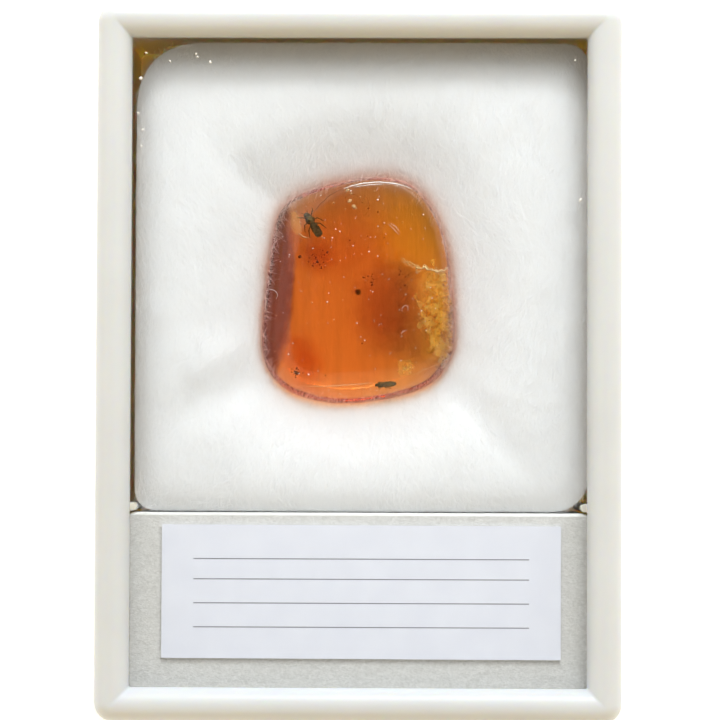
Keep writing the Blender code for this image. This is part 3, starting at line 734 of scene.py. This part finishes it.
def veil_material(name, colour, darker, cover, shine=0.25, cell=900.0):
    """A thin film that hides part of what is behind it, by a number or by a named value on its points."""
    made, tree, shader = new_material(name)
    cloud = spread(tree, noise_value(tree, object_place(tree), cell, 4.0, 0.6), 0.35, 0.65)
    paint(tree, shader, blend_colour(tree, cloud, darker, colour))
    shader.inputs["Roughness"].default_value = shine
    share = cover
    if isinstance(cover, str):
        patchy = spread(tree, noise_value(tree, object_place(tree), 700.0, 4.0, 0.6), 0.3, 0.62, 0.55, 1.0)
        share = maths(tree, "MULTIPLY", attribute(tree, cover), patchy)
    clear = add(tree, "ShaderNodeBsdfTransparent")
    set_surface(tree, mix_shaders(tree, share, clear.outputs["BSDF"], shader.outputs["BSDF"]))
    return made


def speck_material(name, one, other, roughness):
    made, tree, shader = new_material(name)
    cloud = spread(tree, noise_value(tree, object_place(tree), 6000.0, 2.0), 0.35, 0.65)
    paint(tree, shader, blend_colour(tree, cloud, one, other))
    shader.inputs["Roughness"].default_value = roughness
    return made


def add_crack(stone):
    """The crack that dips from its rough edge into the stone: a dark brown film on its left as painted shade,
    crumpled gold on its right.
    """
    edge = along_line(CRACK_EDGE, CRACK_COLUMNS)
    down = np.linspace(0, 1, CRACK_ROWS)[:, None]
    across = np.broadcast_to(np.linspace(0, 1, CRACK_COLUMNS), (CRACK_ROWS, CRACK_COLUMNS))
    x = edge[:, 0] + down * (0.3 + 0.9 * across) - CRACK_UNDERCUT * (1 - across) * np.minimum(1, 5 * down)
    y = edge[:, 1] - CRACK_LENGTH * down * (1 - 0.12 * across)
    reach, column = stone.polar(x, y)
    limit = stone.girdle[column] / MM - CRACK_RIM
    pull = np.minimum(1.0, limit / reach)
    x, y = x * pull, y * pull
    rough = np.clip((across - 0.55) / 0.2, 0, 1)
    creases = 0.10 * lattice_noise(x, y, 1.3, 31) + rough * (0.28 * np.abs(lattice_noise(x, y, 0.9, 32)) +
                                                              0.14 * lattice_noise(x, y, 0.35, 33))
    depth = 0.45 + 2.6 * down ** 0.7 - 1.2 * rough * down + creases
    depth = np.maximum(depth, 0.3)
    points = stone.spot(x.ravel(), y.ravel(), depth.ravel())
    ends = np.clip(down / 0.04, 0, 1) * np.clip((1 - down) / 0.12, 0, 1)
    # Painted shade: how strongly the brown film darkens the crack's left part
    painted_shade = np.clip(across / 0.45, 0, 1) ** 1.3 * np.clip((0.70 - across) / 0.2, 0, 1) * ends
    gold = np.clip((across - 0.62) / 0.12, 0, 1) * ends
    faces = grid_faces(CRACK_ROWS, CRACK_COLUMNS, wrap=False)
    left = veil_material("amber_crack_painted_shade", (0.20, 0.055, 0.012), (0.11, 0.03, 0.008), "cover", 0.3)
    piece("amber_crack_painted_shade", points, faces, left, values={"cover": 0.42 * painted_shade})
    right = veil_material("amber_crack_gold", (1.0, 0.88, 0.30), (0.92, 0.56, 0.08), "cover", 0.22, 1600.0)
    shift = points + (0, 0, CRACK_SHEETS_APART)
    piece("amber_crack_gold", shift, faces, right, values={"cover": 0.52 * gold})


def flat_flake(stone, outline, depth, tilt, steps=14):
    """A thin sheet with the outline of a few corners, under the stone's top."""
    corners = np.asarray(outline)
    middle = corners.mean(0)
    rim = along_line(np.vstack([corners, corners[:1]]), 4 * steps, 1)
    shares = np.linspace(0.04, 1, steps)[:, None, None]
    flat = middle + (rim - middle) * shares
    x, y = flat[..., 0], flat[..., 1]
    down = depth + tilt * (x - middle[0]) + 0.06 * lattice_noise(x, y, 0.5, 41)
    return stone.spot(x.ravel(), y.ravel(), down.ravel()), grid_faces(steps, 4 * steps)


def add_lines(stone, name, lines, material):
    """Thin uneven threads that follow the stone's surface."""
    threads = []
    for line, depth, count, wobble, seed, radius, rough in lines:
        path = along_line(line, count)
        stray = np.stack([lattice_noise(*path.T, LINE_CELL, seed + k) for k in (0, 1)], -1)
        path = path + wobble * stray
        threads.append(hair(stone.spot(*path.T, depth), radius * MM, rough=rough))
    joined(name, threads, material)


def add_flakes(stone):
    # The chip and the patch are films on small fractures; their gold stands partly for the light they reflect,
    # as painted highlight
    gold = veil_material("amber_flake", (1.0, 0.82, 0.24), (0.94, 0.62, 0.12), 0.20, 0.15, 2200.0)
    parts = [flat_flake(stone, CHIP, 0.5, 0.06), flat_flake(stone, PATCH, 0.5, -0.10)]
    joined("amber_flakes", parts, gold)
    random = np.random.default_rng(61)
    field = []
    for middle, reach, count, largest in FLAKE_FIELDS:
        for x, y in random.normal(middle, reach, (count, 2)):
            turns = np.sort(random.uniform(0, math.tau, 6))
            size = random.uniform(0.2, largest) * random.uniform(0.6, 1.2, 6)
            outline = np.stack([x + size * np.cos(turns), y + 1.4 * size * np.sin(turns)], -1)
            field.append(flat_flake(stone, outline, random.uniform(0.35, 0.9), random.uniform(-0.35, 0.35), 6))
    shiny = veil_material("amber_flake_field", (1.0, 0.86, 0.34), (1.0, 0.56, 0.10), 0.38, 0.12, 2400.0)
    joined("amber_flake_field", field[::3] + field[1::3], shiny)
    # Painted shade: every third flake of the field takes a dark film
    painted_flake_shade = veil_material("amber_flake_shade", (0.70, 0.30, 0.06), (0.30, 0.11, 0.02), 0.28, 0.3, 2400.0)
    joined("amber_flake_shade", field[2::3], painted_flake_shade)
    # Painted glints on the crack, chip and patch edges, and a painted highlight on the face's low edge
    painted_glint = speck_material("amber_painted_glint", (1.0, 0.86, 0.56), (1.0, 0.96, 0.80), 0.25)
    add_lines(stone, "amber_edge_lines", PAINTED_GLINT_LINES, painted_glint)
    # Painted highlight: white threads on the face's top edge
    white = speck_material("amber_painted_highlight", (1.0, 0.97, 0.94), (1.0, 0.99, 0.97), 0.2)
    add_lines(stone, "amber_painted_highlights", PAINTED_HIGHLIGHT_LINES, white)
    # Painted shade: the dark thread on the face's upper left edge
    painted_shade = speck_material("amber_face_edge_painted_shade", (0.16, 0.05, 0.015), (0.30, 0.10, 0.03), 0.3)
    add_lines(stone, "amber_face_edge_painted_shade", PAINTED_SHADE_LINES, painted_shade)


def add_bubbles(stone, random):
    # The bubbles are opaque pale grains, painted bright as the highlight that a bubble shows; the motes share
    # their material
    shiny = speck_material("amber_bubble", (1.0, 0.88, 0.60), (1.0, 0.96, 0.78), 0.15)
    parts = [grain(stone.spot(x, y, 0.25 + size)[0], size * MM, random, 0.6) for x, y, size in BUBBLES]
    parts += [grain(stone.spot(x, y, 0.15)[0], random.uniform(0.07, 0.12) * MM, random, 0.6) for x, y in MOTES]
    joined("amber_bubbles", parts, shiny)
    dim = speck_material("amber_ring", (0.42, 0.17, 0.04), (0.60, 0.28, 0.08), 0.3)
    rings = []
    for x, y, radius, start, end in BUBBLE_RINGS:
        turns = np.linspace(start, end, 24)
        ring = stone.spot(x + radius * np.cos(turns), y + 1.1 * radius * np.sin(turns), 0.8)
        rings.append(hair(ring, 0.035 * MM))
    joined("amber_bubble_rings", rings, dim)


def add_specks(stone, random):
    places = list(SPECKS)
    for x, y, reach, count in SPECK_CLOUDS:
        around = random.normal(0, reach * 0.5, (count, 2)) + (x, y)
        places += [(a, b, random.uniform(0.04, 0.11)) for a, b in around]
    parts = []
    for x, y, size in places:
        parts.append(grain(stone.spot(x, y, random.uniform(0.3, 1.4))[0], size * MM, random, 0.5))
    dark = speck_material("amber_speck", (0.10, 0.03, 0.012), (0.20, 0.07, 0.02), 0.5)
    joined("amber_specks", parts, dark)


def add_edge_chips(stone, random):
    """Small broken bits along the rough right side of the girdle."""
    parts = []
    for turn in random.uniform(*CHIPPED_EDGE, CHIPS):
        column = round((turn + math.pi) / math.tau * RAYS) % RAYS
        reach = stone.girdle[column] / MM - abs(random.normal(0.35, 0.3)) - 0.25
        x, y = reach * math.cos(turn), reach * math.sin(turn)
        centre = stone.spot(x, y, random.uniform(0.15, 0.5))[0]
        parts.append(grain(centre, random.uniform(0.04, 0.13) * MM, random, 0.5))
    gold = speck_material("amber_chip_gold", (0.95, 0.62, 0.22), (0.60, 0.30, 0.08), 0.3)
    dark = speck_material("amber_chip_dark", (0.16, 0.05, 0.015), (0.30, 0.12, 0.03), 0.4)
    joined("amber_chips_gold", parts[::2], gold)
    joined("amber_chips_dark", parts[1::2], dark)


def add_inclusions(stone):
    random = np.random.default_rng(17)
    add_crack(stone)
    add_flakes(stone)
    add_bubbles(stone, random)
    add_specks(stone, random)
    add_edge_chips(stone, random)


def wadding_material(name, low, high):
    """White fibre, with a warm tint near the stone, painted to stand in for light coloured by passing through
    it.
    """
    made, tree, shader = new_material(name)
    place = object_place(tree)
    cloud = spread(tree, noise_value(tree, place, 500.0, 4.0), 0.3, 0.7)
    white = blend_colour(tree, cloud, low, high)
    painted_stone_light = attribute(tree, "painted_stone_light")
    pink = blend_colour(tree, spread(tree, painted_stone_light, 0.0, 0.5), white, (0.90, 0.67, 0.57))
    colour = blend_colour(tree, spread(tree, painted_stone_light, 0.4, 0.75), pink, (0.76, 0.30, 0.13))
    paint(tree, shader, colour)
    put(shader, {"Roughness": 0.95, "Specular IOR Level": 0.1})
    strands = noise_value(tree, object_place(tree, scale=(1.0, 0.18, 1.0)), 2600.0, 3.0, 0.6, 0.4)
    tree.links.new(bump(tree, strands, 0.42, 0.12 * MM), shader.inputs["Normal"])
    return made, tree, shader


class Pad:
    """The wadding's surface as a fine polar grid about the stone."""

    def __init__(self, stone):
        self.centre = stone.centre
        self.angles = np.linspace(-math.pi, math.pi, PAD_RAYS, endpoint=False)
        self.inner = np.interp(self.angles, stone.angles, stone.girdle, period=math.tau)
        self.foot_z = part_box("wadding")[0].z
        tree = search_tree("wadding")
        self.outer = smooth_rows([self.wall(tree, angle) for angle in self.angles], 3, wrap=True) + PAD_SWELL
        nest = np.array(NEST_SHARES)[:, None] * self.inner
        share = np.linspace(0, 1, PAD_RINGS)[:, None]
        ring = self.inner + (self.outer - self.inner) * share
        self.radii = np.vstack([nest, ring])
        x, y = self.spot(self.radii)
        z = np.array([self.drop(tree, a, b) for a, b in zip(x.ravel(), y.ravel())]).reshape(x.shape)
        z = smooth_rows(smooth_rows(z, 26, 0), 24, 1, wrap=True)
        lumps = 0.07 * MM * lattice_noise(x, y, 3.2 * MM, 11) + 0.04 * MM * lattice_noise(x, y, 1.3 * MM, 12)
        lumps += 0.03 * MM * lattice_noise(x, 0.4 * y, 0.6 * MM, 13)
        fade = np.ones(len(z))[:, None]
        fade[:len(nest) + 2] = 0.0
        self.heights = z + lumps * fade

    def wall(self, tree, angle):
        """How far the pad's outer wall lies from the stone's axis."""
        outward = Vector((math.cos(angle), math.sin(angle), 0))
        axis = Vector((*self.centre, WALL_LEVEL))
        return (tree.ray_cast(axis + outward * FAR, -outward)[0] - axis).length

    def spot(self, radii):
        return self.centre[0] + radii * np.cos(self.angles), self.centre[1] + radii * np.sin(self.angles)

    def drop(self, tree, x, y):
        for pull in (1.0, 0.998, 0.99, 0.97):
            px = self.centre[0] + (x - self.centre[0]) * pull
            py = self.centre[1] + (y - self.centre[1]) * pull
            hit = tree.ray_cast(Vector((px, py, 1.0)), Vector((0, 0, -1)))[0]
            if hit is not None and hit.z > self.foot_z + 1 * MM:
                return hit.z
        return self.foot_z

    def polar(self, x, y):
        """Distance from the stone's axis, the two nearest columns of the grid and the share between them."""
        turn = np.arctan2(y - self.centre[1], x - self.centre[0])
        column = (turn + math.pi) / math.tau * PAD_RAYS
        c0 = np.floor(column).astype(int) % PAD_RAYS
        reach = np.hypot(x - self.centre[0], y - self.centre[1])
        return reach, c0, (c0 + 1) % PAD_RAYS, column - np.floor(column)

    def height_at(self, x, y):
        """The surface's height at any points, with how far out they lie: 0 at the girdle, 1 at the walls."""
        reach, c0, c1, s = self.polar(x, y)
        inner = self.inner[c0] * (1 - s) + self.inner[c1] * s
        outer = self.outer[c0] * (1 - s) + self.outer[c1] * s
        share = (reach - inner) / (outer - inner)
        row = np.clip(share, 0, 1) * (PAD_RINGS - 1)
        r0 = np.minimum(np.floor(row).astype(int), PAD_RINGS - 2)
        t = row - r0
        top = self.heights[len(NEST_SHARES):]
        near = top[r0, c0] * (1 - s) + top[r0, c1] * s
        far = top[r0 + 1, c0] * (1 - s) + top[r0 + 1, c1] * s
        return near * (1 - t) + far * t, share

    def painted_stone_light(self, x, y):
        """How much painted stone light a place takes, from its distance to the stone's edge."""
        reach, c0, _, _ = self.polar(x, y)
        uneven = 1 + 0.3 * lattice_noise(x, y, 2.2 * MM, 14)
        fade = PAINTED_STONE_LIGHT_REACH * (1 + PAINTED_STONE_LIGHT_LEAN * np.sin(self.angles[c0]))
        return PAINTED_STONE_LIGHT * uneven * np.exp(-np.maximum(reach - self.inner[c0], 0) / fade)

    def build(self, material):
        x, y = self.spot(self.radii)
        rows = [np.stack([x, y, self.heights], -1)]
        edge = rows[0][-1]
        for step in range(1, SIDE_RINGS + 1):
            ring = edge.copy()
            share = step / SIDE_RINGS
            ring[:, 2] = edge[:, 2] * (1 - share) + self.foot_z * share
            rows.append(ring[None])
        points = np.concatenate(rows)
        painted_stone_light = self.painted_stone_light(points[..., 0], points[..., 1])
        painted_stone_light[:len(NEST_SHARES)] = 0.0
        faces = grid_faces(len(points), PAD_RAYS)
        return piece("wadding_pad", points, faces, material, values={"painted_stone_light": painted_stone_light})


def ribbons(px, py, pz, heading, half, roll):
    """Points and quads of thin ribbons along rows of points."""
    wx, wy = -np.sin(heading) * np.cos(roll) * half, np.cos(heading) * np.cos(roll) * half
    wz = np.sin(roll) * half
    one = np.stack([px - wx, py - wy, pz - wz], -1)
    other = np.stack([px + wx, py + wy, pz + wz], -1)
    count, across = px.shape
    points = np.stack([one, other], 2).reshape(-1, 3)
    start = np.arange(count)[:, None] * 2 * across
    k = np.arange(across - 1) * 2
    quads = np.stack([start + k, start + k + 1, start + k + 3, start + k + 2], -1).reshape(-1, 4)
    return points, quads


def curved_paths(x, y, heading, length, bend, segments):
    """Rows of points along arcs through the given middles, with the heading at each point."""
    t = np.linspace(-0.5, 0.5, segments + 1)
    s = length[:, None] * t
    safe = np.where(np.abs(bend) < 1.0, 1.0, bend)[:, None]
    along, aside = np.sin(safe * s) / safe, (1 - np.cos(safe * s)) / safe
    cos, sin = np.cos(heading)[:, None], np.sin(heading)[:, None]
    px = x[:, None] + along * cos - aside * sin
    py = y[:, None] + along * sin + aside * cos
    return px, py, heading[:, None] + safe * s, t


def rest_on(pad, stone, px, py, rise):
    """Fibres at a rise over the pad or the stone's top, clear of the box's walls, its ledge and its window."""
    pz = pad.height_at(px, py)[0] + rise
    over = stone.height(stone.crown, px, py)
    pz = np.where(over > 0, np.maximum(pz, over + STONE_CLEAR), pz)
    low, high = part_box("wadding")
    px = np.clip(px, low.x - PAD_MARGIN, high.x + PAD_MARGIN)
    py = np.clip(py, low.y - LEDGE_MARGIN, high.y + PAD_MARGIN)
    return px, py, np.minimum(pz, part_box("window_pane")[0].z - PANE_CLEAR)


def fibre_arrays(pad, stone, random, count):
    """Ribbons that lie along the pad's surface, mostly along the box, in swirling tufts."""
    low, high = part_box("wadding")
    x = random.uniform(low.x, high.x, count * 2)
    y = random.uniform(low.y, high.y, count * 2)
    share = pad.height_at(x, y)[1]
    keep = (share > -0.02) & (share < 1.0)
    x, y = x[keep][:count], y[keep][:count]
    count = len(x)
    swirl = 0.6 * lattice_noise(x, y, 9 * MM, 21) + 0.4 * lattice_noise(x, y, 3 * MM, 22)
    heading = math.pi / 2 + swirl + random.normal(0, 0.55, count)
    length = np.clip(random.lognormal(math.log(1.8), 0.4, count), 0.7, 4.5) * MM
    px, py, turn, t = curved_paths(x, y, heading, length, random.normal(0, 220, count), FIBRE_SEGMENTS)
    rise = random.exponential(0.16, count)[:, None] * MM * (1 - 4 * t ** 2)
    rise = rise + random.exponential(0.07, count)[:, None] * MM
    px, py, pz = rest_on(pad, stone, px, py, rise)
    taper = np.interp(t, (-0.5, -0.2, 0.2, 0.5), (0.4, 1, 1, 0.4))
    half = random.uniform(0.007, 0.016, count)[:, None] * MM * taper
    return ribbons(px, py, pz, turn, half, random.uniform(-0.8, 0.8, count)[:, None])


def loose_hairs(pad, stone, random, count):
    """Hairs that stand off the nest's rim and reach over the stone's edge."""
    around = random.uniform(-math.pi, math.pi, count)
    column = ((around + math.pi) / math.tau * PAD_RAYS).astype(int) % PAD_RAYS
    reach = pad.inner[column] + random.exponential(0.7, count) * MM - 0.1 * MM
    x, y = pad.centre[0] + reach * np.cos(around), pad.centre[1] + reach * np.sin(around)
    heading = around + random.normal(0, 0.9, count)
    length = random.uniform(0.6, 2.0, count) * MM
    px, py, turn, t = curved_paths(x, y, heading, length, random.normal(0, 500, count), 5)
    rise = random.exponential(0.25, count)[:, None] * MM * (1 - 4 * t ** 2) + STONE_CLEAR
    px, py, pz = rest_on(pad, stone, px, py, rise)
    half = random.uniform(0.007, 0.013, count)[:, None] * MM * np.ones(len(t))
    return ribbons(px, py, pz, turn, half, random.uniform(-0.8, 0.8, count)[:, None])


def add_lint(stone, random):
    """Stray hairs that lie on the polished face."""
    parts = [hair(stone.spot(*along_line(line, 24).T, -0.03), 0.024 * MM) for line in HAIRS]
    for _ in range(14):
        x, y = random.uniform(-9, 9), random.uniform(-11, 12)
        turns = random.uniform(0, math.tau) + np.linspace(0, random.uniform(0.6, 3.0), 14)
        size = random.uniform(0.12, 0.35)
        path = stone.spot(x + size * np.cos(turns), y + size * np.sin(turns), -0.03)
        parts.append(hair(path, 0.014 * MM))
    pale = speck_material("lint", (0.93, 0.86, 0.80), (1.0, 0.97, 0.94), 0.6)
    joined("lint_on_amber", parts, pale)
    dots = []
    for _ in range(FACE_DOTS):
        turn, reach = random.uniform(0, math.tau), random.uniform(0, 1) ** 0.5
        x, y = 12.0 * reach * math.cos(turn), 15.0 * reach * math.sin(turn)
        dots.append(grain(stone.spot(x, y, -0.02)[0], random.uniform(0.035, 0.09) * MM, random, 0.6))
    joined("dust_on_amber", dots, pale)


def add_wadding(stone):
    pad = Pad(stone)
    base, _, shader = wadding_material("wadding_base", (0.95, 0.957, 0.965), (0.97, 0.975, 0.98))
    let_light_wander(shader, 1.0, (1.0, 0.97, 0.93), 4.5 * MM)
    body = pad.build(base)
    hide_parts("wadding")
    strands, tree, shader = wadding_material("wadding_fibre", (0.965, 0.97, 0.978), (0.985, 0.988, 0.992))
    colour = shader.inputs["Base Color"].links[0].from_socket
    glow = add(tree, "ShaderNodeBsdfTranslucent", {"Color": colour})
    set_surface(tree, mix_shaders(tree, 0.5, shader.outputs["BSDF"], glow.outputs["BSDF"]))
    random = np.random.default_rng(5)
    count = FIBRES_PER_PIECE // 1
    jobs = [(f"wadding_fibres_{k + 1}", fibre_arrays, count) for k in range(FIBRE_PIECES)]
    for name, make, number in (*jobs, ("wadding_loose_hairs", loose_hairs, LOOSE_HAIRS)):
        points, quads = make(pad, stone, random, number)
        painted_stone_light = pad.painted_stone_light(points[:, 0], points[:, 1])
        piece(name, points, quads, strands, False, {"painted_stone_light": painted_stone_light})
    add_lint(stone, random)


def add_dust():
    """Grains of dust on the window, most of them near its far left corner."""
    random = np.random.default_rng(29)
    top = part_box("window_pane")[1].z
    parts = []
    for x, y, size in DUST:
        centre = np.array([x * MM, y * MM, top + 0.25 * size * MM])
        parts.append(grain(centre, 2.3 * size * MM, random, 0.4))
    pale = speck_material("dust", (0.92, 0.88, 0.80), (1.0, 0.98, 0.94), 0.6)
    joined("window_dust", parts, pale)


main()
